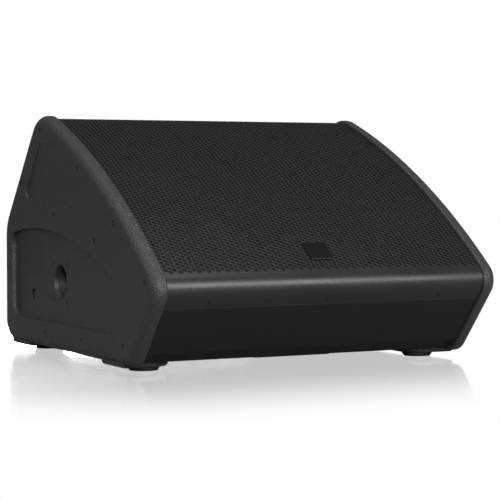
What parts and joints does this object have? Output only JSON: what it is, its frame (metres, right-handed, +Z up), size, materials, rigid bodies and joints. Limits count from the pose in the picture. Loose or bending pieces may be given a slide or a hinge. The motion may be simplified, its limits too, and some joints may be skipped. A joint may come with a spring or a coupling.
{
  "type": "stage monitor loudspeaker",
  "caption": "Wedge-shaped powered stage monitor: moulded cheeks, wrapped perforated grille, coaxial driver behind it, pole socket and rear amplifier panel.",
  "frame": {"origin": "on the floor, in the middle of the box that holds the cabinet", "axes": "+X to the right seen from the front, +Y from the nose to the back, +Z up; the grille faces -Y and up"},
  "size_m": [0.6, 0.6345, 0.3964],
  "materials": {
    "cheek_plastic": "moulded black plastic with a coarse pebble grain",
    "coated_ply": "plywood under a fine textured black coating",
    "grille_steel": "perforated steel sheet, satin black powder coat",
    "acoustic_foam": "thin open-cell black foam",
    "black_steel": "black steel fastener",
    "foot_rubber": "solid black rubber",
    "moulded_black": "fine-grained black moulding",
    "badge_black": "semi-gloss black",
    "label_black": "smooth satin black film",
    "bright_steel": "zinc-plated steel",
    "cast_frame": "cast and painted black",
    "ferrite": "sintered ferrite",
    "driver_body": "black-coated magnet assembly",
    "cone_paper": "coated pulp paper",
    "coil_copper": "enamelled wire on a former",
    "edge_cloth": "doped cloth",
    "spider_cloth": "phenolic-treated cloth",
    "panel_paint": "satin black paint on pressed steel",
    "sink_alloy": "black anodised extrusion",
    "cover_steel": "galvanised sheet",
    "circuit_board": "fibreglass board with its components",
    "knob_plastic": "soft-touch black",
    "button_plastic": "grey plastic",
    "rocker_plastic": "glossy black",
    "latch_metal": "plated steel tab",
    "lamp_plastic": "smoked clear window"
  },
  "bodies": {
    "cabinet": {"front_panel": "coated_ply", "bottom_panel": "coated_ply", "back_panel": "coated_ply", "upper_back_panel": "coated_ply", "nose_rail": "coated_ply", "top_rail": "coated_ply", "baffle_board": "coated_ply", "end_board_left": "coated_ply", "end_board_right": "coated_ply", "cheek_left": "cheek_plastic", "cheek_right": "cheek_plastic", "cheek_screws_left": "black_steel", "cheek_screws_right": "black_steel", "pole_socket": "moulded_black", "pole_socket_screws": "black_steel", "label_plate": "label_black", "fixing_bolt": "bright_steel", "handle_dish": "moulded_black", "handle_grip": "moulded_black", "handle_screws": "black_steel", "foot_front_left": "foot_rubber", "foot_front_right": "foot_rubber", "foot_rear_left": "foot_rubber", "foot_rear_right": "foot_rubber", "foot_screws": "bright_steel", "bottom_pad": "foot_rubber", "grille": "grille_steel", "grille_foam": "acoustic_foam", "grille_screws": "black_steel", "badge_plate": "badge_black", "woofer_frame": "cast_frame", "woofer_screws": "black_steel", "magnet_plates": "driver_body", "magnet_ring": "ferrite", "surround": "edge_cloth", "spider": "spider_cloth", "hf_horn": "moulded_black", "hf_driver": "driver_body", "port_tube_left": "moulded_black", "port_tube_right": "moulded_black", "amp_tray": "panel_paint", "amp_screws": "black_steel", "heat_sink": "sink_alloy", "amp_cover": "cover_steel", "amp_board": "circuit_board", "power_supply": "circuit_board", "control_board": "circuit_board", "switch_frame": "moulded_black", "mains_inlet": "moulded_black", "signal_input": "moulded_black", "signal_link": "moulded_black", "lamp_window": "lamp_plastic"},
    "cone_assembly": {"cone": "cone_paper", "voice_coil": "coil_copper"},
    "knob": {"level_knob": "knob_plastic"},
    "button": {"mode_button": "button_plastic"},
    "rocker": {"power_rocker": "rocker_plastic"},
    "latch": {"input_latch": "latch_metal"}
  },
  "joints": [
    {"name": "cone_travel", "type": "slide", "parent": "cabinet", "child": "cone_assembly", "axis": [0, -0.486, 0.874], "range_m": [-0.005, 0.005], "stiffness_N_per_m": 3500, "deforming": ["surround", "spider"]},
    {"name": "level_turn", "type": "hinge", "parent": "cabinet", "child": "knob", "pos_m": [0.118, 0.29385, 0.152], "axis": [0, -1, 0], "range_deg": [-150, 150]},
    {"name": "mode_press", "type": "slide", "parent": "cabinet", "child": "button", "axis": [0, -1, 0], "range_m": [0, 0.0015], "stiffness_N_per_m": 600},
    {"name": "power_rock", "type": "hinge", "parent": "cabinet", "child": "rocker", "pos_m": [0.036, 0.29485, 0.084], "axis": [1, 0, 0], "range_deg": [-16, 0]},
    {"name": "latch_press", "type": "slide", "parent": "cabinet", "child": "latch", "axis": [0, -1, 0], "range_m": [0, 0.002], "stiffness_N_per_m": 500}
  ]
}
